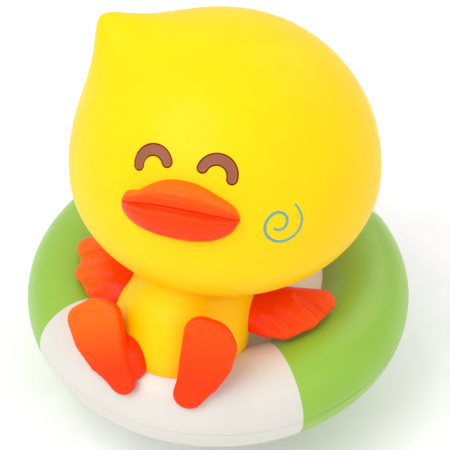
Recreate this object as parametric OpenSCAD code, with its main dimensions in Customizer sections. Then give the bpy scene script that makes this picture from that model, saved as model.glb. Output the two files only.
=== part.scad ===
// Floating chlorine dispenser: a duck that leans back in a swim ring, with a
// tablet canister below the ring. Z is up and is the axis of the ring and the
// canister, the base cap stands on z = 0, and the duck faces -Y. Millimetres.

/* [Swim ring] */
// Outer diameter of the swim ring
ring_d = 200; // [196:1:204]
// Diameter of the ring's tube
tube_d = 48; // [47:0.5:49]
// Height of the ring's middle plane above the base
ring_z = 62; // [61:0.5:66]
// Wall thickness of the blow-moulded ring shells
ring_wall = 2.2; // [1.8:0.1:2.6]

/* [Duck] */
// Radius of the duck's head at its widest
head_r = 76.4; // [74:0.2:78]
// Height of the head's underside as a share of its radius
head_squash = 0.65; // [0.62:0.01:0.68]
// Height of the head's centre above the ring's middle plane
head_rise = 88.6; // [87:0.2:90]
// Sideways offset of the head's centre
head_x = 4; // [2:0.5:6]
// Lean of the head's pointed crown from the vertical
crown_lean = 39.6; // [36:0.2:42]
// Rise of the pointed crown as a share of the head's radius
crown_rise = 0.27; // [0.22:0.01:0.32]
// Wall thickness of the soft vinyl head and body
duck_wall = 2.4; // [2:0.1:2.8]
// Radius of the duck's rounded body
body_r = 34; // [33:0.5:35]

/* [Tablet canister] */
// Inner radius of the tablet chamber
chamber_r = 42.4; // [41.4:0.2:42.4]
// Number of vents round the canister
vent_count = 12; // [12:1:12]
// Angle that each vent covers
vent_angle = 12; // [9:1:12]
// Drop of the base cap for each turn of its four-start thread
thread_lead = 24; // [24:1:24]

/* [Hidden] */
$fn = 96;
fit = 0.1;              // gap between faces that meet in one body
run_gap = 0.3;          // gap between bodies that move apart
far = 400;              // reach of the half-space cutters
soft_fn = 20;           // sides of the balls in the limbs' rounded forms

duck_yellow = [1.0, 0.84, 0.0];
limb_orange = [0.95, 0.33, 0.08];
ring_white = [0.93, 0.92, 0.90];
ring_green = [0.50, 0.66, 0.24];
cap_white = [0.90, 0.91, 0.92];

// Ring
tube_r = tube_d / 2;
ring_r = ring_d / 2 - tube_r;
lap = 2.5;

// Deck plate and the flange that clamps it to the ring
deck_level = 11;
deck_t = 3;
deck_top = ring_z + deck_level;
deck_bottom = deck_top - deck_t;
flange_level = -11;
flange_t = 3;
flange_top = ring_z + flange_level;
flange_bottom = flange_top - flange_t;
flange_r = 54.2;

// Canister, from the bottom up
canister_r = chamber_r + 2.4;
neck_r = 43;
neck_wall = 2;
neck_bottom = 12;
neck_top = 22.8;
bead_z = 23.4;
bead_r = canister_r + 0.5;
sleeve_bottom = 24.8;
sleeve_top = 43;
vent_bottom = 28;
vent_top = 40;
vent_pitch = 360 / vent_count;

// Four ramps under the four lugs of the base cap
starts = 4;
ramp_half = 30;
ramp_r = 44.6;
ramp_mid_z = 17;
ramp_t = 2;
ramp_drop = thread_lead * 2 * ramp_half / 360;
ramp_tilt = atan(ramp_drop / 2 / (ramp_r * sin(ramp_half)));
lug_angle = 12;
lug_from = 16;

// Base cap
cap_r = 47.6;
cap_bore = 45;
cap_top = 22;
cap_floor_bottom = 8;
cap_floor_top = 10;
rib_top = 12;
drain_r = 4;
hub_r = 6.5;
grip_count = 24;

// Screws
deck_screw_r = 48.6;
deck_screw_count = 4;
boss_r = 3.1;
shank_r = 1.35;
pilot_r = 1.4;

// Tether eye behind the canister
eye_y = 55;
eye_z = 32.5;
tether_bore_r = 2.5;
tether_t = 5;

// Head and neck
head_z = ring_z + head_rise;
crown_width = 9.6;
crown_blunt = 3.4;
neck_y = -28;
neck_z = head_z - head_squash * sqrt(head_r * head_r - neck_y * neck_y);
neck_tilt = atan(head_squash * head_squash * -neck_y / (head_z - neck_z));
spool_bore = 8;
spool_r = 11;
spool_rim_r = 15;

// Body
body_y = -52;
body_z = ring_z + 24;
body_lean = 58;
body_stretch = 1.5;
plate_y = -34;
plate_r = 14;
body_screw_x = 7;

// Head's outline: radius at each angle from the crown's tip
function crown(a) = 1 + crown_rise
    * exp(-(sqrt(a * a + crown_blunt * crown_blunt) - crown_blunt) / crown_width);

// Places a child on the head, at an angle round and an angle up
module on_head(around, up) {
    translate([head_x, 0, head_z]) rotate([0, 0, around]) rotate([-up, 0, 0])
        translate([0, -head_r, 0]) rotate([90, 0, 0]) children();
}

module below(z) {
    translate([-far / 2, -far / 2, z - far]) cube(far);
}

module above(z) {
    translate([-far / 2, -far / 2, z]) cube(far);
}

// Flat-ended tube round the Z axis
module tube(r_in, r_out, z0, z1) {
    rotate_extrude() translate([r_in, z0]) square([r_out - r_in, z1 - z0]);
}

// Part of a tube that covers an angle centred on the +X direction
module tube_part(r_in, r_out, z0, z1, angle) {
    rotate([0, 0, -angle / 2]) rotate_extrude(angle = angle)
        translate([r_in, z0]) square([r_out - r_in, z1 - z0]);
}

// Solid of the whole ring's tube, grown by a clearance
module ring_solid(grow) {
    translate([0, 0, ring_z]) rotate_extrude() translate([ring_r, 0]) circle(tube_r + grow);
}

// ---- Swim ring ----

// Half of the tube wall between two radii, from a lower to an upper level
module ring_section(r_out, r_in, from, to) {
    intersection() {
        translate([ring_r, 0]) difference() {
            circle(r_out);
            circle(r_in);
        }
        translate([ring_r - tube_d, from]) square([2 * tube_d, to - from]);
    }
}

module ring_upper_shell() {
    color(ring_white) translate([0, 0, ring_z]) rotate_extrude() union() {
        ring_section(tube_r, tube_r - ring_wall, 0, tube_d);
        ring_section(tube_r - ring_wall / 2, tube_r - ring_wall, -lap, fit);
    }
}

module ring_lower_shell() {
    color(ring_white) translate([0, 0, ring_z]) rotate_extrude() difference() {
        ring_section(tube_r, tube_r - ring_wall, -tube_d, -fit / 2);
        ring_section(tube_r - ring_wall / 2 + fit, tube_r - ring_wall - 1, -lap - fit, 1);
    }
}

// ---- Deck that closes the ring ----

module deck_plate() {
    locate_depth = 2.4;
    seat_r = ring_r - sqrt(tube_r * tube_r - deck_level * deck_level) - fit;
    low = deck_level - deck_t;
    seat_low_r = ring_r - sqrt(tube_r * tube_r - low * low) - fit;
    color(ring_white) difference() {
        union() {
            translate([0, 0, deck_bottom]) cylinder(h = deck_t, r1 = seat_low_r, r2 = seat_r);
            tube(chamber_r - 2.2, chamber_r - fit, deck_bottom - locate_depth, deck_bottom + 1);
            for (i = [0 : deck_screw_count - 1]) rotate([0, 0, 45 + i * 90])
                translate([deck_screw_r, 0, flange_top + fit])
                    cylinder(h = deck_bottom - flange_top, r = boss_r);
        }
        for (i = [0 : deck_screw_count - 1]) rotate([0, 0, 45 + i * 90])
            translate([deck_screw_r, 0, flange_top - 1]) cylinder(h = 14, r = pilot_r);
        for (side = [-1, 1]) translate([side * body_screw_x, plate_y, deck_bottom - 1])
            cylinder(h = deck_t + 2, r = pilot_r + 0.3);
    }
}

// Pan-head screw with its head's underside at the origin, pointing up
module screw(head_r, head_h, length) {
    difference() {
        union() {
            translate([0, 0, -head_h]) cylinder(h = head_h, r = head_r);
            cylinder(h = length, r = shank_r);
        }
        for (turn = [0, 90]) rotate([0, 0, turn])
            translate([-head_r * 0.6, -0.4, -head_h - 1]) cube([head_r * 1.2, 0.8, 2]);
    }
}

module deck_screws() {
    color("silver") for (i = [0 : deck_screw_count - 1]) rotate([0, 0, 45 + i * 90])
        translate([deck_screw_r, 0, flange_bottom - 0.05]) screw(2.8, 2, 15);
}

// ---- Canister, its flow sleeve and its base cap ----

// Sloped rib of one thread start, centred on the +X direction
module ramp() {
    intersection() {
        tube_part(neck_r - 1, ramp_r, neck_bottom, neck_top, 2 * ramp_half);
        translate([ramp_r, 0, ramp_mid_z]) rotate([ramp_tilt, 0, 0])
            cube([20, 100, ramp_t], center = true);
    }
}

module canister() {
    color(cap_white) difference() {
        union() {
            rotate_extrude() polygon([
                [neck_r - neck_wall, neck_bottom], [neck_r, neck_bottom], [neck_r, neck_top],
                [bead_r, bead_z], [bead_r, bead_z + 0.6], [canister_r, bead_z + 1],
                [canister_r, flange_bottom], [flange_r, flange_bottom], [flange_r, flange_top],
                [canister_r, flange_top], [canister_r, deck_bottom - fit],
                [chamber_r, deck_bottom - fit], [chamber_r, bead_z + 2.6],
                [neck_r - neck_wall, bead_z + 1.2]]);
            for (i = [0 : starts - 1]) rotate([0, 0, i * 360 / starts]) ramp();
            // End stops and snap pads for the flow sleeve
            for (at = [-6, 21]) rotate([0, 0, at])
                tube_part(canister_r - 1, canister_r + 2, sleeve_top + 0.6, sleeve_top + 3.4, 4.6);
            for (at = [120, 240]) rotate([0, 0, at])
                tube_part(canister_r - 1, canister_r + 1, sleeve_top + 0.4, sleeve_top + 2, 20);
        }
        for (i = [0 : vent_count - 1]) rotate([0, 0, i * vent_pitch])
            tube_part(chamber_r - 4, canister_r + 0.8, vent_bottom, vent_top, vent_angle);
        for (i = [0 : deck_screw_count - 1]) rotate([0, 0, 45 + i * 90])
            translate([deck_screw_r, 0, flange_bottom - 1])
                cylinder(h = flange_t + 2, r = pilot_r + 0.3);
    }
}

// Eye for a tether, on a pad that is welded under the canister's flange
module tether_bracket() {
    bracket_y = canister_r + 4;
    pad_w = 14;
    pad_t = 2;
    color(cap_white) difference() {
        union() {
            translate([-pad_w / 2, bracket_y, flange_bottom - pad_t]) cube([pad_w, 4.4, pad_t]);
            translate([-tether_t / 2, bracket_y, eye_z])
                cube([tether_t, 4.4, flange_bottom - eye_z]);
            translate([-tether_t / 2, eye_y, eye_z]) rotate([0, 90, 0])
                cylinder(h = tether_t, r = 6);
        }
        translate([-tether_t, eye_y, eye_z]) rotate([0, 90, 0])
            cylinder(h = 2 * tether_t, r = tether_bore_r);
    }
}

// Turning sleeve, drawn shut: its windows reach the vents after half a pitch
module flow_sleeve() {
    sleeve_r = canister_r + run_gap;
    sleeve_wall = 1.8;
    color(ring_green) {
        difference() {
            tube(sleeve_r, sleeve_r + sleeve_wall, sleeve_bottom, sleeve_top);
            for (i = [0 : vent_count - 1]) rotate([0, 0, (i + 0.5) * vent_pitch])
                tube_part(sleeve_r - 1, sleeve_r + 4, vent_bottom, vent_top, vent_angle);
        }
        for (i = [0 : vent_count - 1]) rotate([0, 0, i * vent_pitch])
            translate([sleeve_r + sleeve_wall - 0.3, 0, sleeve_bottom + 1.2])
                cylinder(h = sleeve_top - sleeve_bottom - 2.4, r = 1.2);
        tube_part(sleeve_r + 0.2, sleeve_r + sleeve_wall - 0.2, sleeve_top - 1, sleeve_top + 3, 6);
    }
}

module cap_washer() {
    color([0.25, 0.26, 0.28]) tube(neck_r - neck_wall, cap_bore - 0.4,
        cap_floor_top + 0.05, neck_bottom - fit);
}

module base_cap() {
    color(cap_white) {
        difference() {
            union() {
                tube(cap_bore, cap_r, 0, cap_top);
                translate([0, 0, cap_floor_bottom])
                    cylinder(h = cap_floor_top - cap_floor_bottom, r = cap_bore + 1);
                translate([0, 0, 0.8]) cylinder(h = cap_floor_bottom, r = hub_r);
                tube(cap_bore - 3.4, cap_bore + 1, 3, cap_floor_top);
            }
            translate([0, 0, -1]) cylinder(h = rib_top + 2, r = drain_r);
        }
        for (i = [0 : 5]) rotate([0, 0, i * 60])
            translate([hub_r + 2, -1, cap_floor_top - 0.5]) cube([28, 2, rib_top - cap_floor_top + 0.5]);
        for (i = [0 : starts - 1]) rotate([0, 0, i * 360 / starts + lug_from + lug_angle / 2])
            tube_part(neck_r + run_gap, cap_bore + 1, cap_top - 1.85, cap_top, lug_angle);
        for (i = [0 : grip_count - 1]) rotate([0, 0, (i + 0.5) * 360 / grip_count])
            translate([cap_r - 0.2, 0, 1]) cylinder(h = 15, r = 1.4);
    }
}

module ballast_ring() {
    color("dimgray") tube(15, cap_bore - 4, 3.2, cap_floor_bottom - fit);
}

module ballast_cover() {
    color(cap_white) tube(hub_r + 0.3, cap_bore - 0.3, 0.8, 2.8);
}

// ---- Duck's head ----

// Egg-shaped head with a pointed crown, shrunk by an inset
module head_solid(inset) {
    r = head_r - inset;
    steps = 30;
    reach = 132;
    under_steps = 14;
    seam_step = 0.15;
    under_r = r - seam_step;
    translate([head_x, 0, head_z]) {
        intersection() {
            rotate([0, -crown_lean, 0]) rotate_extrude() polygon(concat([[0, 0]],
                [for (i = [0 : steps]) let (a = reach * pow(i / steps, 1.25))
                    [r * crown(a) * sin(a), r * crown(a) * cos(a)]]));
            translate([-far / 2, -far / 2, 0]) cube(far);
        }
        rotate_extrude() polygon(concat([[0, 0.5]],
            [for (i = [0 : under_steps]) let (a = 90 * i / under_steps)
                [under_r * sin(a), -(head_squash * head_r - inset) * cos(a)]],
            [[under_r, 0.5]]));
    }
}

module head_underside(grow) {
    intersection() {
        head_solid(-grow);
        below(head_z - 4);
    }
}

// Smiling arch, drawn flat on the head and sunk to a depth
module eye_arch(grow, out, depth) {
    arch_r = 7.9;
    half_w = 2.4 + grow;
    spread = 78;
    translate([0, -arch_r * 0.6, -depth]) {
        rotate([0, 0, 90 - spread]) rotate_extrude(angle = 2 * spread)
            translate([arch_r - half_w, 0]) square([2 * half_w, depth + out]);
        for (side = [-1, 1]) rotate([0, 0, 90 + side * spread])
            translate([arch_r, 0, 0]) cylinder(h = depth + out, r = half_w);
    }
}

module on_eye(side) {
    on_head(2.4 + side * 14.4, 39.6) rotate([0, 0, -side * 22]) children();
}

module eye(side) {
    color([0.52, 0.27, 0.17]) on_eye(side) intersection() {
        eye_arch(0, 4, 1.5);
        translate([0, 0, -head_r]) sphere(r = head_r - 0.3, $fn = 360);
    }
}

module right_eye() { eye(-1); }

module left_eye() { eye(1); }

beak_around = 4.2;
beak_up = 24.5;
peg_r = 5;

module on_beak() {
    on_head(beak_around, beak_up) children();
}

module head_shell() {
    color(duck_yellow) difference() {
        head_solid(0);
        head_solid(duck_wall);
        for (side = [-1, 1]) on_eye(side) eye_arch(0.2, 8, 1.6);
        for (side = [-1, 1]) on_beak() translate([side * 13, 0, -14]) cylinder(h = 30, r = peg_r + fit);
        on_neck() translate([0, 0, -30]) cylinder(h = 60, r = spool_r + fit);
    }
}

// One lip, thick along its ridge and thin at its edge and corners
module lip(edge, ridge, bulge) {
    corner_x = 25.5;
    side_y = sign(edge) * 1;
    difference() {
        hull() {
            for (side = [-1, 1]) {
                translate([side * corner_x, side_y, -1]) sphere(r = 3, $fn = soft_fn);
                translate([side * 9, edge, 0]) sphere(r = 3.4, $fn = soft_fn);
                translate([side * 10, ridge, bulge]) sphere(r = 3.4, $fn = soft_fn);
            }
        }
        translate([0, 0, -head_r]) sphere(r = head_r + fit);
        translate([-40, edge > 0 ? fit / 2 - 40 : -fit / 2, -20]) cube([80, 40, 60]);
    }
}

module upper_beak() {
    color(limb_orange) {
        on_beak() lip(10.5, 2, 8.6);
        on_beak() intersection() {
            for (side = [-1, 1]) translate([side * 13, 0, -6]) cylinder(h = 9, r = peg_r);
            translate([-40, fit / 2, -20]) cube([80, 40, 60]);
        }
    }
}

module lower_beak() {
    color(limb_orange) {
        on_beak() lip(-9.5, -3, 7);
        on_beak() intersection() {
            for (side = [-1, 1]) translate([side * 13, 0, -6]) cylinder(h = 9, r = peg_r);
            translate([-40, -40 - fit / 2, -20]) cube([80, 40, 60]);
        }
    }
}

// ---- Neck and body ----

module on_neck() {
    translate([head_x / 2, neck_y, neck_z]) rotate([-neck_tilt, 0, 0]) children();
}

module neck_spool() {
    head_rim = duck_wall + 1.8;
    body_rim = duck_wall + 0.9;
    rim_t = 2;
    color(ring_white) on_neck() rotate_extrude() polygon([
        [spool_bore, -body_rim - rim_t], [spool_rim_r, -body_rim - rim_t],
        [spool_rim_r, -body_rim], [spool_r, -body_rim], [spool_r, head_rim],
        [spool_rim_r, head_rim], [spool_rim_r, head_rim + rim_t],
        [spool_bore, head_rim + rim_t]]);
}

// Reclined egg, shrunk by an inset
module body_egg(inset) {
    steps = 24;
    translate([0, body_y, body_z]) rotate([-body_lean, 0, 0]) rotate_extrude() polygon([
        for (i = [0 : steps]) let (a = -90 + 180 * i / steps)
            [(body_r - inset) * cos(a), (body_r - inset) * sin(a) * (a > 0 ? body_stretch : 1)]]);
}

// Body with its saddle over the ring, its seat on the deck and the head's hollow
module body_solid(inset) {
    difference() {
        body_egg(inset);
        ring_solid(fit + inset);
        below(deck_top + fit + inset);
        head_underside(0.2 + inset);
    }
}

module body_shell() {
    color(duck_yellow) difference() {
        body_solid(0);
        body_solid(duck_wall);
        translate([0, plate_y, deck_top - 1]) cylinder(h = duck_wall + 3, r = plate_r + fit);
        on_neck() translate([0, 0, -20]) cylinder(h = 40, r = spool_r + fit);
        for (side = [-1, 1]) {
            on_wing(side) cylinder(h = 40, r = wing_peg_r + fit, center = true);
            on_leg(side) cylinder(h = 30, r = leg_peg_r + fit, center = true);
        }
    }
}

module body_base_plate() {
    floor_top = deck_top + fit + duck_wall;
    color(cap_white) translate([0, plate_y, 0]) difference() {
        union() {
            translate([0, 0, deck_top + fit]) cylinder(h = duck_wall + 0.5, r = plate_r);
            translate([0, 0, floor_top + fit]) cylinder(h = 1.8, r = plate_r + 2);
            for (side = [-1, 1]) translate([side * body_screw_x, 0, floor_top])
                cylinder(h = 8, r = 3.2);
        }
        for (side = [-1, 1]) translate([side * body_screw_x, 0, deck_top - 1])
            cylinder(h = 11, r = pilot_r);
    }
}

module body_screws() {
    color("silver") for (side = [-1, 1])
        translate([side * body_screw_x, plate_y, deck_bottom - 0.05]) screw(2.8, 1.8, 12);
}

// ---- Wings and feet ----

wing_peg_r = 4;
leg_peg_r = 5;
leg_r = 7.5;

module on_wing(side) {
    translate([side * 31, -40, ring_z + 32]) rotate([0, side * 90, 0]) children();
}

module on_leg(side) {
    translate([side * 16, -78, ring_z + 31]) rotate([0, 0, side * 14]) rotate([90, 0, 0]) children();
}

// Rounded blade between two balls
module blade(from, to, r0, r1) {
    hull() {
        translate(from) sphere(r = r0, $fn = soft_fn);
        translate(to) sphere(r = r1, $fn = soft_fn);
    }
}

// Wing of four feathers that fan out from a palm at the body
module wing(side) {
    palm = [36, -38, 31];
    tips = [[61, -20, 31], [61, -30, 30], [55, -40, 30], [46, -45, 30]];
    color(limb_orange) {
        difference() {
            union() for (tip = tips)
                blade([side * palm[0], palm[1], ring_z + palm[2]],
                      [side * tip[0], tip[1], ring_z + tip[2]], 7, 5.2);
            ring_solid(run_gap);
            body_egg(-fit);
        }
        on_wing(side) translate([0, 0, -4]) cylinder(h = 10, r = wing_peg_r);
    }
}

module right_wing() { wing(-1); }

module left_wing() { wing(1); }

// Webbed foot: heel, three toes and a short leg. The sole faces out along the
// direction given by a turn and a lean, and the toes roll to one side.
module foot(side, at, turn, lean, roll) {
    toes = [[-9, 13, 0], [0, 17, 0], [8, 15, 0]];
    heel = [side * -1, -18, 0];
    color(limb_orange) {
        difference() {
            union() {
                translate(at) rotate([0, 0, turn]) rotate([90 - lean, 0, 0]) rotate([0, 0, roll])
                    for (toe = toes) blade(heel, toe, 6.5, 5.6);
                on_leg(side) cylinder(h = 7, r = leg_r);
            }
            ring_solid(run_gap);
            body_egg(-fit);
        }
        on_leg(side) translate([0, 0, -7]) cylinder(h = 14, r = leg_peg_r);
    }
}

module right_foot() { foot(-1, [-24, -82, ring_z + 33], -8, 24, 28); }

module left_foot() { foot(1, [20, -79, ring_z + 35.5], 12, 22, -9.5); }

// ---- Assembly ----

head_shell();
right_eye();
left_eye();
upper_beak();
lower_beak();
neck_spool();
body_shell();
body_base_plate();
body_screws();
right_wing();
left_wing();
right_foot();
left_foot();
ring_upper_shell();
ring_lower_shell();
deck_plate();
deck_screws();
canister();
tether_bracket();
flow_sleeve();
cap_washer();
base_cap();
ballast_ring();
ballast_cover();
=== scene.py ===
"""Looks of the floating chlorine dispenser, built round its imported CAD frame.

Shapes are worked out in millimetres in the row frame (Z up, the duck faces -Y)
and become metres when a mesh is made.
"""
import math

import bpy
import numpy as np
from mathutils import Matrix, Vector


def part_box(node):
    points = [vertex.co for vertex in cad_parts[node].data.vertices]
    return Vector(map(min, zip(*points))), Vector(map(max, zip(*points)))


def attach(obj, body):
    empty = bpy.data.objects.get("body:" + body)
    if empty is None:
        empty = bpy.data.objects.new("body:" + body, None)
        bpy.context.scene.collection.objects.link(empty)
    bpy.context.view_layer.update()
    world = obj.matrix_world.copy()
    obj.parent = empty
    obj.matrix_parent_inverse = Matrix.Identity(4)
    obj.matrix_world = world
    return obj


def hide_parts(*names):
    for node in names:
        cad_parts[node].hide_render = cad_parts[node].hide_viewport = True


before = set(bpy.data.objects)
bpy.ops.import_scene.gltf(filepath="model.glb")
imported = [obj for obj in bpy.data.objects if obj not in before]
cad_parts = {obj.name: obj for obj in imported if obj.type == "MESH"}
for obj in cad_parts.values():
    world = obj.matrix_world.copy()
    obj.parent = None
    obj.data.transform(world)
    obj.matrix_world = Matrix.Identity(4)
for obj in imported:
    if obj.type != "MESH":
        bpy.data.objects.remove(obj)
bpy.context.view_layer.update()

MM = 0.001


# ---- Driving dimensions, taken from the frame, in millimetres ----

def box_mm(node):
    low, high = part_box(node)
    return np.array(low) / MM, np.array(high) / MM


ring_low = box_mm("ring_lower_shell")[0]
ring_high = box_mm("ring_upper_shell")[1]
RING_Z = (ring_low[2] + ring_high[2]) / 2
TUBE_R = (ring_high[2] - ring_low[2]) / 2
RING_R = ring_high[0] - TUBE_R
DECK_TOP = box_mm("deck_plate")[1][2]

HEAD_SQUASH = 0.65
head_low, head_high = box_mm("head_shell")
HEAD_R = head_high[1]
HEAD = np.array([head_high[0] - HEAD_R, 0.0, head_low[2] + HEAD_SQUASH * HEAD_R])
CROWN_LEAN = math.radians(39.6)
CROWN_AXIS = np.array([-math.sin(CROWN_LEAN), 0.0, math.cos(CROWN_LEAN)])
CROWN_RISE = 0.27
CROWN_WIDTH = 9.6
CROWN_BLUNT = 3.4

BODY = np.array([0.0, -52.0, RING_Z + 24.0])
BODY_R = 34.0
BODY_LEAN = math.radians(58.0)
BODY_STRETCH = 1.5
NECK_TAPER = 0.12
NECK_SHIFT = 4.0
SINK = 0.4              # how far soft pieces press into each other, which hides their edges
SINK_BLEND = 0.4


# ---- Numbers and fields ----

def srgb(red, green, blue):
    """Linear colour of an 8-bit screen colour."""
    share = np.array([red, green, blue]) / 255.0
    linear = np.where(share <= 0.04045, share / 12.92, ((share + 0.055) / 1.055) ** 2.4)
    return (*linear, 1.0)


def length(p):
    return np.sqrt((p * p).sum(-1))


def soft_min(a, b, blend):
    h = np.clip(0.5 + 0.5 * (b - a) / blend, 0, 1)
    return b * (1 - h) + a * h - blend * h * (1 - h)


def soft_max(a, b, blend):
    return -soft_min(-a, -b, blend)


def press_on(shape, other):
    """Cuts a soft shape back to where it sinks a little into another field's solid."""
    return soft_max(shape, -SINK - other, SINK_BLEND)


def rod(p, start, end, r_start, r_end):
    """Distance to a round rod whose radius changes from one end to the other."""
    start, end = np.array(start, float), np.array(end, float)
    along = end - start
    t = np.clip(((p - start) @ along) / (along @ along), 0, 1)
    return length(p - start - t[:, None] * along) - (r_start + (r_end - r_start) * t)


def chain(p, balls):
    """Distance to rods that join balls (x, y, z, radius) in a row."""
    found = None
    for a, b in zip(balls, balls[1:]):
        d = rod(p, a[:3], b[:3], a[3], b[3])
        found = d if found is None else np.minimum(found, d)
    return found


def spline(points, at):
    """Smooth curve y(x) through a few points."""
    x, y = np.array(points, float).T
    slope = np.gradient(y, x)
    i = np.clip(np.searchsorted(x, at) - 1, 0, len(x) - 2)
    step = x[i + 1] - x[i]
    t = np.clip((at - x[i]) / step, 0, 1)
    return ((2 * t**3 - 3 * t**2 + 1) * y[i] + (t**3 - 2 * t**2 + t) * step * slope[i]
            + (3 * t**2 - 2 * t**3) * y[i + 1] + (t**3 - t**2) * step * slope[i + 1])


def smooth_step(t):
    t = np.clip(t, 0, 1)
    return t * t * (3 - 2 * t)


# ---- Meshes ----

def make_piece(name, points, faces, painted_shading=None, line=None):
    """Smooth-shaded object from points in millimetres, with its shares of painted light and shade.
    """
    mesh = bpy.data.meshes.new(name)
    mesh.from_pydata((np.asarray(points) * MM).tolist(), [], faces)
    mesh.validate()
    mesh.shade_smooth()
    for share, values in (("painted_shading", painted_shading), ("line", line)):
        if values is not None:
            shade = mesh.attributes.new(share, "FLOAT", "POINT")
            shade.data.foreach_set("value", np.clip(values, 0, 1).astype(np.float32))
    piece = bpy.data.objects.new(name, mesh)
    bpy.context.scene.collection.objects.link(piece)
    return piece


def slope_of(field, p, reach):
    steps = np.eye(3) * reach
    return np.stack([(field(p + s) - field(p - s)) / (2 * reach) for s in steps], -1)


def surface_net(field, low, high, pitch):
    """Closed quad mesh of the surface where a field changes sign."""
    low, high = np.array(low, float), np.array(high, float)
    counts = np.ceil((high - low) / pitch).astype(int) + 1
    axes = [low[i] + pitch * np.arange(counts[i]) for i in range(3)]
    grid = np.stack(np.meshgrid(*axes, indexing="ij"), -1).reshape(-1, 3)
    inside = (field(grid) < 0).reshape(counts)
    nx, ny, nz = counts - 1
    corners = [inside[i:i + nx, j:j + ny, k:k + nz]
               for i in (0, 1) for j in (0, 1) for k in (0, 1)]
    crossed = np.logical_or.reduce(corners) & ~np.logical_and.reduce(corners)
    number = np.full(crossed.shape, -1)
    number[crossed] = np.arange(crossed.sum())
    centres = low + (np.argwhere(crossed) + 0.5) * pitch
    points = centres.copy()
    for _ in range(6):
        slope = slope_of(field, points, pitch * 0.1)
        step = field(points) / np.maximum((slope**2).sum(-1), 1e-6)
        points -= np.clip(step[:, None] * slope, -pitch / 2, pitch / 2)
        points = np.clip(points, centres - pitch * 0.9, centres + pitch * 0.9)
    faces = []
    for axis in range(3):
        first = [slice(1, -1)] * 3
        second = [slice(1, -1)] * 3
        first[axis], second[axis] = slice(0, -1), slice(1, None)
        a, b = inside[tuple(first)], inside[tuple(second)]
        u, v = (axis + 1) % 3, (axis + 2) % 3
        for leaves in (True, False):
            edges = np.argwhere((a == leaves) & (b != leaves))
            edges[:, [i for i in range(3) if i != axis]] += 1
            ring = []
            for du, dv in ((1, 1), (0, 1), (0, 0), (1, 0)):
                cell = edges.copy()
                cell[:, u] -= du
                cell[:, v] -= dv
                ring.append(number[tuple(cell.T)])
            quads = np.stack(ring if leaves else ring[::-1], -1)
            faces += quads[(quads >= 0).all(-1)].tolist()
    return points, faces


def grid_faces(rows, columns, wrap_rows=False, wrap_columns=False, start=0):
    """Quads of a grid of points, which may close on itself."""
    faces = []
    for i in range(rows if wrap_rows else rows - 1):
        for j in range(columns if wrap_columns else columns - 1):
            i2, j2 = (i + 1) % rows, (j + 1) % columns
            faces.append([start + i * columns + j, start + i * columns + j2,
                          start + i2 * columns + j2, start + i2 * columns + j])
    return faces


# ---- Head ----

def crown(d):
    """Rise of the head's pointed crown, for unit directions."""
    angle = np.degrees(np.arccos(np.clip(d @ CROWN_AXIS, -1, 1)))
    reach = (np.sqrt(angle**2 + CROWN_BLUNT**2) - CROWN_BLUNT) / CROWN_WIDTH
    return 1 + CROWN_RISE * np.exp(-reach)


def head_radius(d):
    """Head's radius along unit directions: round above, flattened below."""
    flat = np.where(d[..., 2] < 0, d[..., 2] / HEAD_SQUASH, d[..., 2])
    return HEAD_R / np.sqrt(d[..., 0]**2 + d[..., 1]**2 + flat**2) * crown(d)


def head_field(p):
    q = p - HEAD
    r = np.maximum(length(q), 1e-6)
    return r - head_radius(q / r[:, None])


def head_axes(around, up, roll):
    """Right, up and outward directions at a place on the head, rolled about the outward one."""
    a, e, t = (math.radians(x) for x in (around, up, roll))
    out = np.array([math.sin(a) * math.cos(e), -math.cos(a) * math.cos(e), math.sin(e)])
    right = np.array([math.cos(a), math.sin(a), 0.0])
    rise = np.cross(out, right)
    rise = rise * (1 if rise[2] > 0 else -1)
    return (right * math.cos(t) + rise * math.sin(t), rise * math.cos(t) - right * math.sin(t), out)


def on_head(local, place):
    """Points (x, y, height above the head's surface) at a place, as row-frame points."""
    right, rise, out = head_axes(*place)
    d = local[:, :1] * right + local[:, 1:2] * rise + HEAD_R * out
    d /= length(d)[:, None]
    return HEAD + d * (head_radius(d) + local[:, 2])[:, None]


# Each eye is an arch sunk in a groove. Its place is given in degrees on the head:
# around from the duck's front, up from the level, and rolled about the outward direction
EYE_ARCH_R = 7.2
EYE_SPREAD = math.radians(84)
EYE_HALF_W = 2.5
EYE_TAPER = 0.3
EYE_GROOVE = 0.35
EYE_WALL = 0.3          # width of the groove's sloping wall and of the fade of the painted shade in it
EYE_LIP = 0.12
EYE_DEPTH = 1.3
EYE_FACE = -0.28        # height of the inlay's face over the head's surface
EYE_RIM = 0.22
EYE_PITCH = 0.2
EYES = {"right_eye": (-12.0, 36.7, 25.6), "left_eye": (16.5, 38.0, -19.2)}


def eye_distance(x, y):
    """Distance outside the edge of the smiling arch."""
    angle = np.clip(np.arctan2(x, y), -EYE_SPREAD, EYE_SPREAD)
    gap = np.hypot(x - EYE_ARCH_R * np.sin(angle), y - EYE_ARCH_R * np.cos(angle))
    return gap - (EYE_HALF_W - EYE_TAPER * (angle / EYE_SPREAD)**2)


def eye_recess(d):
    """How far the head's surface sinks under the eyes, and where painted shade darkens the grooves
    round them.
    """
    sunk, line = np.zeros(len(d)), np.zeros(len(d))
    for place in EYES.values():
        right, rise, out = head_axes(*place)
        ahead = d @ out
        near = ahead > 0.9
        x = HEAD_R * (d[near] @ right) / ahead[near]
        y = HEAD_R * (d[near] @ rise) / ahead[near]
        edge = eye_distance(x, y)
        wall = smooth_step((EYE_GROOVE + EYE_WALL / 2 - edge) / EYE_WALL)
        lip = EYE_LIP * np.exp(-((edge - EYE_GROOVE - 0.5) / 0.4)**2)
        sunk[near] += EYE_DEPTH * wall - lip
        line[near] += smooth_step((EYE_GROOVE + EYE_WALL - edge) / EYE_WALL)
    return sunk, line


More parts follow.
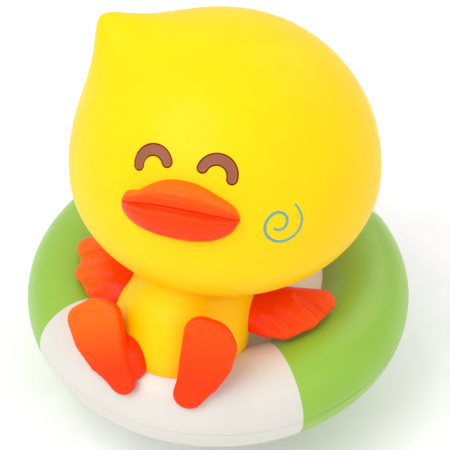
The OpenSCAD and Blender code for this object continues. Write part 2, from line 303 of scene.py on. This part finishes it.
def varied_steps(start, end, coarse, bands):
    """Angles from start to end, with fine steps inside each band (from, to, step)."""
    angles = [start]
    while angles[-1] < end - 1e-9:
        step = coarse
        for low, high, fine in bands:
            if low <= angles[-1] < high:
                step = fine
            elif angles[-1] < low < angles[-1] + step:
                step = low - angles[-1]
        angles.append(min(angles[-1] + step, end))
    return np.radians(angles)


# The head's mesh in degrees: everyday steps, and fine bands (from, to, step) at the eyes
HEAD_STEP_AROUND = 1.5
HEAD_STEP_UP = 1.3
HEAD_BANDS_AROUND = [(-25, -0.5, 0.24), (5, 29, 0.24)]
HEAD_BANDS_UP = [(25, 50, 0.2)]
HEAD_POLE = 88.5
CHIN_PAINTED_SHADE = (6, 52)   # height over the head's middle where the painted shade (a deeper yellow) starts, and its fade


def build_head():
    around = varied_steps(-180, 180, HEAD_STEP_AROUND, HEAD_BANDS_AROUND)[:-1]
    up = varied_steps(-HEAD_POLE, HEAD_POLE, HEAD_STEP_UP, HEAD_BANDS_UP)
    e, a = np.meshgrid(up, around, indexing="ij")
    d = np.stack([np.sin(a) * np.cos(e), -np.cos(a) * np.cos(e), np.sin(e)], -1).reshape(-1, 3)
    poles = np.array([[0, 0, -1.0], [0, 0, 1.0]])
    d = np.concatenate([d, poles])
    # line marks the painted shade in the grooves round the eyes
    sunk, line = eye_recess(d)
    points = HEAD + d * (head_radius(d) - sunk)[:, None]
    rows, columns = e.shape
    faces = grid_faces(rows, columns, wrap_columns=True)
    last = rows * columns
    top = last - columns
    for j in range(columns):
        k = (j + 1) % columns
        faces.append([last, k, j])
        faces.append([last + 1, top + j, top + k])
    # Painted shade: the head turns a deeper yellow towards its underside
    start, fade = CHIN_PAINTED_SHADE
    painted_shade = smooth_step((HEAD[2] + start - points[:, 2]) / fade)
    return make_piece("duck_head", points, faces, painted_shade, line)


def build_eye(name):
    place = EYES[name]

    def field(p):
        edge = eye_distance(p[:, 0], p[:, 1])
        rim = EYE_RIM * np.exp(-((edge + 0.45) / 0.28)**2)
        top = p[:, 2] - (EYE_FACE + rim)
        return soft_max(soft_max(edge, top, 0.35), -EYE_DEPTH - 0.5 - p[:, 2], 0.1)

    reach = EYE_ARCH_R + EYE_HALF_W + 0.6
    local, faces = surface_net(field, [-reach, -2.9, -2.2], [reach, reach, 0.6], EYE_PITCH)
    # Share of the darker middle colour; the lighter, redder edge is a painted highlight on the
    # raised rim
    middle = smooth_step((-eye_distance(local[:, 0], local[:, 1]) - 0.35) / 0.9)
    return make_piece("duck_" + name, on_head(local, place), faces, middle)


# ---- Beak ----

# Outlines of the beak's upper and lower edges: share of its half width, height
BEAK_PLACE = (2.3, 24.5, 0.0)
BEAK_HALF = 30.0
BEAK_TOP = [(-1.0, -0.2), (-0.93, 1.8), (-0.67, 5.0), (-0.5, 8.8), (-0.33, 11.7),
            (0.05, 14.0), (0.32, 13.0), (0.54, 10.6), (0.91, 4.9), (1.0, 2.4)]
BEAK_BOTTOM = [(-1.0, -5.6), (-0.93, -8.6), (-0.8, -11.0), (-0.6, -12.8), (-0.05, -14.0),
               (0.42, -13.2), (0.63, -11.7), (0.81, -8.9), (0.93, -5.4), (1.0, -2.2)]
BEAK_ROOT = -1.5
BEAK_SWELL = 9.6
BEAK_EDGE = 1.8
MOUTH_GAP = 0.03
LIP_ROWS = (140, 56)    # points along the lip and across it


def mouth_line(u):
    """Height of the crease between the lips."""
    return 2.9 - 4.4 * np.abs(u - 0.15)**2.2


def lip_profile(s, upper):
    """Share of the beak's height from the mouth crease, at 0, to the lip's edge, at 1."""
    if upper:
        swell = 0.88 * (1 - s**2.6)**0.62 - 0.10 * np.exp(-((s - 0.36) / 0.14)**2)
        bead = 0.16 * np.exp(-((s - 0.17) / 0.08)**2)
    else:
        swell = 0.90 * (1 - s**2.4)**0.6 - 0.05 * np.exp(-((s - 0.22) / 0.07)**2)
        bead = 0.07 * np.exp(-((s - 0.12) / 0.05)**2)
    return swell + bead - 0.15 * np.exp(-(s / 0.09)**2)


def build_lip(name, upper):
    u_count, s_count = LIP_ROWS
    u = np.sin(np.linspace(-np.pi / 2, np.pi / 2, u_count))
    s = smooth_step(np.linspace(0, 1, s_count)) * 0.6 + np.linspace(0, 1, s_count) * 0.4
    uu, ss = np.meshgrid(u, s, indexing="ij")
    end = np.sqrt(np.clip(1 - (np.clip(np.abs(uu) - 0.9, 0, 1) / 0.1)**2, 0.02, 1))
    mouth = mouth_line(uu)
    edge = spline(BEAK_TOP if upper else BEAK_BOTTOM, uu)
    gap = MOUTH_GAP if upper else -MOUTH_GAP
    y = mouth + gap + (edge - mouth) * ss * end
    height = (BEAK_SWELL * (1 - np.abs(uu)**2.3)**0.9 + BEAK_EDGE) * end
    h = height * lip_profile(ss, upper)
    upper_side = np.stack([BEAK_HALF * uu, y, h], -1).reshape(-1, 3)
    under_side = np.stack([BEAK_HALF * uu * 0.99, y, np.full_like(h, BEAK_ROOT)], -1)
    local = np.concatenate([upper_side, under_side.reshape(-1, 3)])
    total = u_count * s_count
    faces = grid_faces(u_count, s_count)
    faces += [f[::-1] for f in grid_faces(u_count, s_count, start=total)]
    border = ([i * s_count for i in range(u_count)]
              + [(u_count - 1) * s_count + j for j in range(1, s_count)]
              + [i * s_count + s_count - 1 for i in range(u_count - 2, -1, -1)]
              + list(range(s_count - 2, 0, -1)))
    for i, j in zip(border, border[1:] + border[:1]):
        faces.append([i, j, j + total, i + total])
    if upper:
        faces = [f[::-1] for f in faces]
    # Painted light: the upper lip turns paler towards its top, which faces up; the lower lip is a
    # little paler by the mouth as a painted highlight
    painted_shading = np.tile(smooth_step(ss.ravel() * 1.3) if upper else 0.15 * (1 - ss.ravel()), 2)
    return make_piece(name, on_head(local, BEAK_PLACE), faces, painted_shading)


# ---- Cheek swirl ----

SWIRL_PLACE = (39.5, 19.7, 0.0)
SWIRL_HALF_W = 0.72
SWIRL_RISE = 0.28
SWIRL_PITCH = 0.24


def swirl_line():
    """Points and half widths along the spiral stroke."""
    t = np.linspace(0, 1, 90)
    turn = np.radians(-127 + 520 * t)
    r = 4.2 + 1.2 * t + 6.8 * smooth_step((t - 0.48) / 0.42)
    r -= 0.9 * smooth_step((t - 0.9) / 0.1) + 0.6 * smooth_step((0.12 - t) / 0.12)
    width = SWIRL_HALF_W * (0.55 + 0.45 * np.sin(np.pi * np.clip(t * 1.02, 0.04, 0.98))**0.4)
    return np.stack([r * np.cos(turn), r * np.sin(turn)], -1), width


def build_swirl():
    line, width = swirl_line()

    def field(p):
        gap = np.full(len(p), 1e3)
        for a, b, wa, wb in zip(line, line[1:], width, width[1:]):
            along = b - a
            t = np.clip(((p[:, :2] - a) @ along) / (along @ along), 0, 1)
            near = p[:, :2] - a - t[:, None] * along
            gap = np.minimum(gap, np.hypot(near[:, 0], near[:, 1]) - (wa + (wb - wa) * t))
        top = p[:, 2] - SWIRL_RISE
        return soft_max(soft_max(gap, top, 0.3), -0.35 - p[:, 2], 0.1)

    local, faces = surface_net(field, [-9, -12.5, -0.7], [14, 10.5, 0.7], SWIRL_PITCH)
    return make_piece("cheek_swirl", on_head(local, SWIRL_PLACE), faces)


# ---- Body, wings and feet ----

def ring_field(p):
    return np.hypot(np.hypot(p[:, 0], p[:, 1]) - RING_R, p[:, 2] - RING_Z) - TUBE_R


def egg_field(p):
    """Reclined egg that narrows and leans to one side towards the neck."""
    q = p - BODY
    c, s = math.cos(BODY_LEAN), math.sin(BODY_LEAN)
    along = q[:, 1] * s + q[:, 2] * c
    across = q[:, 1] * c - q[:, 2] * s
    neck = smooth_step(along / (1.2 * BODY_R))
    side = (q[:, 0] - NECK_SHIFT * neck) / (1 - NECK_TAPER * neck)
    along = np.where(along > 0, along / BODY_STRETCH, along)
    return np.sqrt(side**2 + across**2 + along**2) - BODY_R


# Hollows over the legs: x, y, height above the ring's middle, depth, reach
DIMPLES = [(-13.0, -84.0, 40.0, 2.4, 8.0), (25.0, -76.0, 40.0, 1.6, 8.0)]
NECK_FILLET = 16.0
DECK_GAP = 0.2
DECK_BLEND = 1.0
BODY_PITCH = 1.0


def body_field(p):
    head = head_field(p)
    shape = soft_min(egg_field(p), head + 2 * SINK, NECK_FILLET)
    for x, y, z, depth, reach in DIMPLES:
        off = p - np.array([x, y, RING_Z + z])
        shape = shape + depth * np.exp(-(off**2).sum(-1) / (2 * reach**2))
    shape = press_on(shape, ring_field(p))
    shape = soft_max(shape, DECK_TOP + DECK_GAP - p[:, 2], DECK_BLEND)
    return press_on(shape, head)


def build_body():
    low = [-BODY_R - 12, BODY[1] - BODY_R - 12, DECK_TOP - 2]
    high = [BODY_R + 12, BODY[1] + BODY_R + 26, BODY[2] + BODY_R + 12]
    points, faces = surface_net(body_field, low, high, BODY_PITCH)
    # Painted shade: the body is a deeper yellow, most of all towards its bottom
    painted_shade = 0.35 + 0.65 * smooth_step((BODY[2] - points[:, 2]) / 20)
    return make_piece("duck_body", points, faces, painted_shade)


# Feathers of each wing, from the palm to the tip, and the web between their tips:
# x, y, height above the ring's middle, radius
WINGS = {
    "right_wing": [
        [(-30, -35, 31, 9.5), (-48, -27, 32, 9), (-61.3, -22.8, 29.5, 7)],
        [(-30, -37, 31, 9.5), (-57, -30.5, 29.6, 7.4)],
        [(-30, -38, 31, 9), (-47, -36, 32.2, 8), (-55.8, -39.2, 29, 6.6)],
        [(-30, -40, 30, 9), (-50.5, -43.2, 29.2, 6.8)],
        [(-30, -42, 30, 9), (-41, -43, 31.5, 8), (-47, -47.4, 28.8, 6.4)],
        [(-26, -44, 28, 8), (-37, -48, 28.6, 6.6)]],
    "left_wing": [
        [(30, -33, 31, 9), (47, -25.5, 32, 8.4), (61.3, -18.4, 29.5, 7.4)],
        [(30, -35, 31, 9), (59.4, -25, 29.6, 7.2)],
        [(30, -36, 31, 9), (48, -30, 32.2, 7.8), (57.4, -31, 29.3, 7.2)],
        [(30, -37, 31, 9), (53.4, -36, 29.3, 7)],
        [(30, -38, 31, 9), (42, -37, 31.8, 8), (49, -40.4, 29, 7.4)],
        [(30, -40, 30, 8.5), (42, -42.4, 29, 6.8)]]}
WING_BLEND = 2.2
# Where the grooves between the feathers end, past the wing's edge: x, y
WING_GROOVES = {
    "right_wing": [(-65.5, -33.5), (-56.5, -50.5)],
    "left_wing": [(68.5, -29), (60.5, -42.5), (50, -50.5)]}
WING_GROOVE_R = (3.4, 1.8)
WING_GROOVE_RISE = 11
WING_LEVEL = 30.0
WING_FLAT = 1.5
WING_SLOPE = 1.2        # the flattened field changes about this much faster than distance
WING_PITCH = 0.75
# Painted light: how much paler each wing turns towards its tips, the right wing more than the left
WING_PAINTED_LIGHT = {"right_wing": 0.9, "left_wing": 0.35}


def build_wing(name):
    feathers = WINGS[name]
    middle = np.array([0, 0, RING_Z + WING_LEVEL])
    flat = np.array([1, 1, WING_FLAT])

    def field(p):
        q = (p - middle) * flat
        shape = None
        for feather in feathers:
            balls = [(x, y, (z - WING_LEVEL) * WING_FLAT, r) for x, y, z, r in feather]
            d = chain(q, balls)
            shape = d if shape is None else soft_min(shape, d, WING_BLEND)
        for x, y in WING_GROOVES[name]:
            palm = (x * 0.75, y * 0.87, WING_GROOVE_RISE)
            groove = rod(q, (x, y, 0), palm, *WING_GROOVE_R)
            shape = soft_max(shape, -groove, 2.0)
        return press_on(shape / WING_SLOPE, ring_field(p))

    balls = np.array([b for feather in feathers for b in feather], float)
    low = (balls[:, :3] - balls[:, 3:]).min(0) + [-1, -1, RING_Z - 1]
    high = (balls[:, :3] + balls[:, 3:]).max(0) + [1, 1, RING_Z + 1]
    points, faces = surface_net(field, low, high, WING_PITCH)
    # Painted light: paler towards the wing's tips
    painted_shading = smooth_step((np.abs(points[:, 0]) - 33) / 30) * WING_PAINTED_LIGHT[name]
    return make_piece("duck_" + name, points, faces, painted_shading)


# Each foot: heel and toe ends of the sole, the sole's facing (turn, lean), the balls
# (x, y, height, radius) that shape it in the sole's plane from the heel to each toe, the
# creases between its toes, the fold under them, the strength of the painted light that
# makes its toes paler, and the leg's balls at the foot and in the body
FEET = {
    "right_foot": {
        "heel": (-12.6, -97.4, 16.8), "toe": (-32.4, -80, 55.2), "turn": -8, "lean": 24,
        "heel_ball": (0.2, -17.6, -2, 5.6),
        "rows": [
            [(-7.6, -5, -3, 8.2), (-11.6, 5, -3.4, 8.8), (-12.8, 14.4, -3.4, 8.4)],
            [(-4, 0, -4.5, 8), (-5, 17.4, -3.4, 7.8)],
            [(-1, 0, -4, 7.4), (0.6, 15.4, -3.4, 7.6)]],
        "creases": [((-10, 26, 1.4), (-8.4, 16.5, 1.4)), ((-1.4, 26.5, 1.4), (-1.8, 17, 1.4))],
        "fold": [(-17.2, 17.4), (-13.4, 19.2), (-9.5, 20.4), (-6.4, 19.6), (-3.6, 18.2),
                 (-0.4, 19.3), (2.7, 19.4), (5.6, 16.9)],
        "painted_light_strength": 1.0, "leg": (1.5, -10, -10.0, 10.4), "hip": (-13, -72, 27, 10)},
    "left_foot": {
        "heel": (19.8, -95.4, 17.6), "toe": (23.8, -78.4, 60.6), "turn": 12, "lean": 22,
        "heel_ball": (-1, -17.4, -2, 6.2),
        "rows": [
            [(-1.4, -2, -3.8, 7.6), (-2.2, 15.4, -3.4, 8)],
            [(3, -1, -4.5, 8), (4.6, 14.6, -3.4, 8.2)],
            [(4.6, -7.5, -3, 8), (8, 1.5, -3.8, 8.2), (8.6, 10, -3.4, 8)]],
        "creases": [((1.6, 26.5, 1.4), (0.8, 17, 1.4)), ((13.5, 21.5, 1.4), (9.4, 14.5, 1.4))],
        "fold": [(-8.3, 17.4), (-5.2, 19.4), (-2.2, 18.8), (0.4, 17), (2.6, 18.2), (4.5, 18),
                 (8.6, 16.2), (11.2, 13.0), (14.6, 10.8)],
        "painted_light_strength": 0.35, "leg": (2.0, -8, -9.5, 8.6), "hip": (15, -72, 27, 9)}}
TOE_BLEND = 3.5
CREASE_R = 2.2
FOLD_R = 0.8
FOLD_RISE = 0.15        # the fold's middle over the sole
FOOT_PITCH = 0.7
SOLE_EDGE = 1.4
ANKLE_BACK = 3.5        # how far behind the sole the leg starts
ANKLE_BLEND = 1.5
SOLE_DOME = 0.0015      # drop of the sole per square millimetre from its middle


def build_foot(name):
    foot = FEET[name]
    turn, lean = math.radians(foot["turn"]), math.radians(foot["lean"])
    out = np.array([math.sin(turn) * math.cos(lean), -math.cos(turn) * math.cos(lean),
                    math.sin(lean)])
    heel = np.array(foot["heel"]) + [0, 0, RING_Z]
    toe = np.array(foot["toe"]) + [0, 0, RING_Z]
    rise = (toe - heel) - out * ((toe - heel) @ out)
    rise /= length(rise)
    right = np.cross(rise, out)
    centre = (heel + toe) / 2
    turned = np.stack([right, rise, out])
    ankle = centre + np.array(foot["leg"][:3]) @ turned
    hip = np.array(foot["hip"][:3]) + [0, 0, RING_Z]
    fold = [(x, y, FOLD_RISE - SOLE_DOME * (x**2 + y**2), FOLD_R) for x, y in foot["fold"]]

    def field(p):
        q = (p - centre) @ turned.T
        shape = None
        for row in foot["rows"]:
            d = chain(q, [foot["heel_ball"], *row])
            shape = d if shape is None else soft_min(shape, d, TOE_BLEND)
        dome = SOLE_DOME * (q[:, 0]**2 + q[:, 1]**2)
        sole = soft_max(shape, q[:, 2] + dome, SOLE_EDGE)
        for start, end in foot["creases"]:
            sole = soft_max(sole, -rod(q, start, end, CREASE_R, CREASE_R * 0.8), 0.8)
        sole = soft_max(sole, -chain(q, fold), 0.6)
        leg = rod(p, ankle, hip, foot["leg"][3], foot["hip"][3])
        leg = soft_max(leg, q[:, 2] + ANKLE_BACK, 2.0)
        return press_on(soft_min(sole, leg, ANKLE_BLEND), ring_field(p))

    reach = np.array([27, 20, 36])
    middle = centre + [0, 4, 0]
    points, faces = surface_net(field, middle - reach, middle + reach, FOOT_PITCH)
    q = (points - centre) @ turned.T
    # Painted light: paler towards the toes and on the sole's face, scaled per foot
    painted_shading = smooth_step((q[:, 1] + 14) / 36) * smooth_step((q[:, 2] + 5) / 4)
    return make_piece("duck_" + name, points, faces, painted_shading * foot["painted_light_strength"])


# ---- Swim ring ----

SEAM_DEPTH = 0.12
SEAM_HALF_W = 0.35
PAINT_EDGES = (45, 135, 225, 315)       # degrees round the ring
PAINT_GROOVE_DEPTH = 0.14
PAINT_GROOVE_HALF_W = 0.3
RING_WALL = 2.2


def build_ring_half(name, side):
    """Half of the hollow ring, above its seam for side 1 or below it for side -1."""
    fine = np.array([-2.4, -1.2, -0.8, -0.5, -0.3, -0.15, 0, 0.15, 0.3, 0.5, 0.8, 1.2, 2.4]) / RING_R
    around = np.concatenate([np.linspace(math.radians(e) + 0.05, math.radians(e + 90) - 0.05, 60)
                             for e in PAINT_EDGES] + [math.radians(e) + fine for e in PAINT_EDGES])
    around = np.unique(np.round(around % (2 * math.pi), 6))
    near = np.array([0.1, 0.25, 0.4, 0.6, 0.9, 1.4, 2.2]) / TUBE_R
    outer = np.concatenate([near, np.linspace(0.13, math.pi - 0.13, 70), math.pi - near[::-1]])
    inner = np.linspace(math.pi - 0.003, 0.003, 30)
    to_seam = TUBE_R * np.minimum(outer, math.pi - outer)
    outer_r = TUBE_R - SEAM_DEPTH * np.exp(-(to_seam / SEAM_HALF_W)**2)
    angle = np.concatenate([outer, inner])
    radius = np.concatenate([outer_r, np.full(len(inner), TUBE_R - RING_WALL)])
    skin = np.concatenate([np.ones(len(outer)), np.zeros(len(inner))])
    a, t = np.meshgrid(around, angle, indexing="ij")
    edge = np.min([np.abs((a - math.radians(e) + math.pi) % (2 * math.pi) - math.pi)
                   for e in PAINT_EDGES], axis=0) * RING_R
    r = radius - PAINT_GROOVE_DEPTH * np.exp(-(edge / PAINT_GROOVE_HALF_W)**2) * skin
    out = RING_R + r * np.cos(t)
    points = np.stack([out * np.cos(a), out * np.sin(a), RING_Z + side * r * np.sin(t)], -1)
    faces = grid_faces(*a.shape, wrap_rows=True, wrap_columns=True)
    if side > 0:
        faces = [f[::-1] for f in faces]
    return make_piece(name, points.reshape(-1, 3), faces)


# ---- Materials ----

def new_material(name):
    material = bpy.data.materials.new(name)
    material.use_nodes = True
    nodes, links = material.node_tree.nodes, material.node_tree.links
    shader = nodes["Principled BSDF"]
    where = nodes.new("ShaderNodeTexCoord")
    return material, nodes, links, shader, where.outputs["Object"]


def noise(nodes, links, where, scale, detail=3.0):
    made = nodes.new("ShaderNodeTexNoise")
    made.inputs["Scale"].default_value = scale
    made.inputs["Detail"].default_value = detail
    links.new(where, made.inputs["Vector"])
    return made.outputs["Fac"]


def mix_colour(nodes, links, share, a, b):
    """Mix of two colours, each a constant or a socket."""
    made = nodes.new("ShaderNodeMix")
    made.data_type = "RGBA"
    links.new(share, made.inputs["Factor"])
    for socket, value in ((made.inputs[6], a), (made.inputs[7], b)):
        if isinstance(value, tuple):
            socket.default_value = value
        else:
            links.new(value, socket)
    return made.outputs[2]


def remap(nodes, links, value, low, high, out_low, out_high):
    made = nodes.new("ShaderNodeMapRange")
    for name, number in (("From Min", low), ("From Max", high),
                         ("To Min", out_low), ("To Max", out_high)):
        made.inputs[name].default_value = number
    links.new(value, made.inputs["Value"])
    return made.outputs["Result"]


def share_of(nodes, name):
    made = nodes.new("ShaderNodeAttribute")
    made.attribute_name = name
    return made.outputs["Fac"]


def finish_surface(nodes, links, shader, where, colour, rough, grain, bump):
    """Adds mottled colour, uneven gloss and a fine moulded grain to a base colour."""
    cloud = noise(nodes, links, where, 35, 4)
    shade = nodes.new("ShaderNodeHueSaturation")
    links.new(remap(nodes, links, cloud, 0.3, 0.7, 0.975, 1.02), shade.inputs["Value"])
    if isinstance(colour, tuple):
        shade.inputs["Color"].default_value = colour
    else:
        links.new(colour, shade.inputs["Color"])
    links.new(shade.outputs["Color"], shader.inputs["Base Color"])
    patch = noise(nodes, links, where, 90, 5)
    links.new(remap(nodes, links, patch, 0.3, 0.7, rough - 0.05, rough + 0.06),
              shader.inputs["Roughness"])
    fine = noise(nodes, links, where, grain, 2)
    relief = nodes.new("ShaderNodeBump")
    relief.inputs["Strength"].default_value = bump
    relief.inputs["Distance"].default_value = 0.0002
    links.new(fine, relief.inputs["Height"])
    links.new(relief.outputs["Normal"], shader.inputs["Normal"])


def vinyl(name, shading_colour, plain, rough=0.42, soft=0.12):
    """Soft vinyl whose colour runs from plain to a second colour with the mesh's share of painted
    light and shade, and turns dark with painted shade along its line.
    """
    material, nodes, links, shader, where = new_material(name)
    colour = mix_colour(nodes, links, share_of(nodes, "painted_shading"), plain, shading_colour)
    # Painted shade: dark brown where the line marks the grooves round the eyes
    colour = mix_colour(nodes, links, share_of(nodes, "line"), colour, srgb(84, 34, 12))
    finish_surface(nodes, links, shader, where, colour, rough, 1400, 0.06)
    shader.inputs["Subsurface Weight"].default_value = soft
    shader.inputs["Subsurface Scale"].default_value = 0.002
    shader.inputs["Subsurface Radius"].default_value = (1.0, 0.5, 0.2)
    shader.inputs["Specular IOR Level"].default_value = 0.12
    shader.inputs["Coat Weight"].default_value = 0.05
    shader.inputs["Coat Roughness"].default_value = 0.3
    return material


def moulding(name, colour, rough=0.45, grain=1800, bump=0.12, metal=0.0):
    """Moulded plastic, rubber or metal of one colour with fine grain."""
    material, nodes, links, shader, where = new_material(name)
    finish_surface(nodes, links, shader, where, colour, rough, grain, bump)
    shader.inputs["Metallic"].default_value = metal
    return material


def ring_paint():
    """White vinyl with green side quarters, split at the diagonals."""
    material, nodes, links, shader, where = new_material("ring_vinyl")
    split = nodes.new("ShaderNodeSeparateXYZ")
    links.new(where, split.inputs["Vector"])
    sizes = []
    for axis in ("X", "Y"):
        size = nodes.new("ShaderNodeMath")
        size.operation = "ABSOLUTE"
        links.new(split.outputs[axis], size.inputs[0])
        sizes.append(size.outputs[0])
    difference = nodes.new("ShaderNodeMath")
    difference.operation = "SUBTRACT"
    links.new(sizes[0], difference.inputs[0])
    links.new(sizes[1], difference.inputs[1])
    share = remap(nodes, links, difference.outputs[0], -0.00015, 0.00015, 0, 1)
    colour = mix_colour(nodes, links, share, srgb(214, 210, 202), srgb(140, 186, 52))
    finish_surface(nodes, links, shader, where, colour, 0.36, 1400, 0.05)
    shader.inputs["Subsurface Weight"].default_value = 0.08
    shader.inputs["Subsurface Scale"].default_value = 0.002
    shader.inputs["Coat Weight"].default_value = 0.12
    shader.inputs["Coat Roughness"].default_value = 0.25
    return material


def eye_paint():
    """Brown inlay, lighter and redder towards its edge as a painted highlight."""
    material, nodes, links, shader, where = new_material("eye_inlay")
    colour = mix_colour(nodes, links, share_of(nodes, "painted_shading"), srgb(170, 78, 36), srgb(140, 78, 50))
    finish_surface(nodes, links, shader, where, colour, 0.5, 1800, 0.1)
    return material


# ---- Pieces ----

def stand_for(piece, material, slot, *nodes):
    piece.data.materials.append(material)
    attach(piece, "root")
    if nodes:
        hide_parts(*nodes)


# The deeper yellow is painted shade, the paler orange painted light.
yellow = vinyl("duck_vinyl", srgb(255, 186, 0), srgb(255, 206, 0), 0.42)
orange = vinyl("limb_vinyl", srgb(252, 104, 12), srgb(246, 56, 2), 0.34)
ring_vinyl = ring_paint()
eye_brown = eye_paint()
teal = moulding("cheek_paint", srgb(96, 168, 150), 0.45)

stand_for(build_head(), yellow, "duck_yellow", "head_shell")
stand_for(build_body(), yellow, "duck_yellow", "body_shell")
for eye_name in EYES:
    stand_for(build_eye(eye_name), eye_brown, "eye_brown", eye_name)
stand_for(build_lip("duck_upper_beak", True), orange, "limb_orange", "upper_beak")
stand_for(build_lip("duck_lower_beak", False), orange, "limb_orange", "lower_beak")
stand_for(build_swirl(), teal, "cheek_teal")
for wing_name in WINGS:
    stand_for(build_wing(wing_name), orange, "limb_orange", wing_name)
for foot_name in FEET:
    stand_for(build_foot(foot_name), orange, "limb_orange", foot_name)
stand_for(build_ring_half("ring_top", 1), ring_vinyl, "ring_paint", "ring_upper_shell")
stand_for(build_ring_half("ring_bottom", -1), ring_vinyl, "ring_paint", "ring_lower_shell")


# ---- CAD nodes that keep their own meshes ----

white = moulding("canister_plastic", srgb(226, 228, 230), 0.42, 2200, 0.15)
deck_white = moulding("deck_plastic", srgb(232, 229, 222), 0.45, 2000, 0.12)
sleeve_green = moulding("sleeve_plastic", srgb(140, 186, 66), 0.4, 2200, 0.15)
rubber = moulding("washer_rubber", srgb(58, 60, 64), 0.65, 2600, 0.25)
iron = moulding("ballast_iron", srgb(120, 122, 125), 0.5, 3200, 0.4, metal=0.8)
steel = moulding("screw_steel", srgb(190, 192, 196), 0.28, 3000, 0.08, metal=1.0)
CAD_FINISHES = {
    "neck_spool": white, "body_base_plate": white, "canister": white, "tether_bracket": white,
    "base_cap": white, "ballast_cover": white, "deck_plate": deck_white,
    "flow_sleeve": sleeve_green, "cap_washer": rubber, "ballast_ring": iron,
    "deck_screws": steel, "body_screws": steel}
EDGE_RADIUS = 0.0003
SHARP_NODES = {"base_cap"}      # rounding streaks its ribs


def soften_edges(node):
    """Small rounds on a CAD node's sharp edges, as a mould leaves them."""
    weld = node.modifiers.new("weld", "WELD")
    weld.merge_threshold = 1e-6
    bevel = node.modifiers.new("rounds", "BEVEL")
    bevel.width = EDGE_RADIUS
    bevel.segments = 2
    bevel.limit_method = "ANGLE"
    bevel.angle_limit = math.radians(40)
    bevel.harden_normals = True


for node_name, finish_material in CAD_FINISHES.items():
    cad_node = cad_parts[node_name]
    cad_node.data.materials.clear()
    cad_node.data.materials.append(finish_material)
    if node_name not in SHARP_NODES:
        soften_edges(cad_node)


# ---- Floor, camera and light ----

def add_floor():
    size = 3.0
    corners = [(-size, -size, 0), (size, -size, 0), (size, size, 0), (-size, size, 0)]
    mesh = bpy.data.meshes.new("floor")
    mesh.from_pydata(corners, [], [(0, 1, 2, 3)])
    floor = bpy.data.objects.new("floor", mesh)
    bpy.context.scene.collection.objects.link(floor)
    mesh.materials.append(moulding("floor_paint", srgb(250, 250, 250), 0.8, 40, 0.02))


def add_camera():
    around, up = math.radians(20.5), math.radians(46)
    back = Vector((math.sin(around) * math.cos(up), -math.cos(around) * math.cos(up), math.sin(up)))
    right = Vector((math.cos(around), math.sin(around), 0))
    rise = back.cross(right)
    ring_centre = Vector((0, 0, RING_Z * MM))
    data = bpy.data.cameras.new("camera")
    data.lens = 136.5
    data.sensor_width = 36
    camera = bpy.data.objects.new("camera", data)
    camera.location = ring_centre + back * 0.9
    target = ring_centre + right * 0.0037 + rise * 0.033
    camera.rotation_mode = "QUATERNION"
    camera.rotation_quaternion = (target - camera.location).to_track_quat("-Z", "Y")
    bpy.context.scene.collection.objects.link(camera)
    bpy.context.scene.camera = camera


def add_light(name, around, up, distance, size, power, colour=(1, 1, 1)):
    """Square soft light that faces the duck."""
    a, e = math.radians(around), math.radians(up)
    centre = Vector((0, 0, 0.11))
    data = bpy.data.lights.new(name, "AREA")
    data.size = size
    data.energy = power
    data.color = colour
    light = bpy.data.objects.new(name, data)
    away = Vector((math.sin(a) * math.cos(e), -math.cos(a) * math.cos(e), math.sin(e)))
    light.location = centre + away * distance
    light.rotation_mode = "QUATERNION"
    light.rotation_quaternion = (-away).to_track_quat("-Z", "Y")
    bpy.context.scene.collection.objects.link(light)


def add_sky(strength):
    world = bpy.data.worlds.new("studio")
    world.use_nodes = True
    shade = world.node_tree.nodes["Background"]
    shade.inputs["Color"].default_value = (1, 1, 1, 1)
    shade.inputs["Strength"].default_value = strength
    bpy.context.scene.world = world


bpy.context.scene.view_settings.view_transform = "Standard"
add_floor()
add_camera()
add_light("key", -30, 55, 1.1, 0.7, 6.0)
add_light("fill", 60, 35, 1.3, 1.0, 1.6)
add_light("rim", 150, 40, 1.2, 0.8, 2.4)
add_sky(0.82)
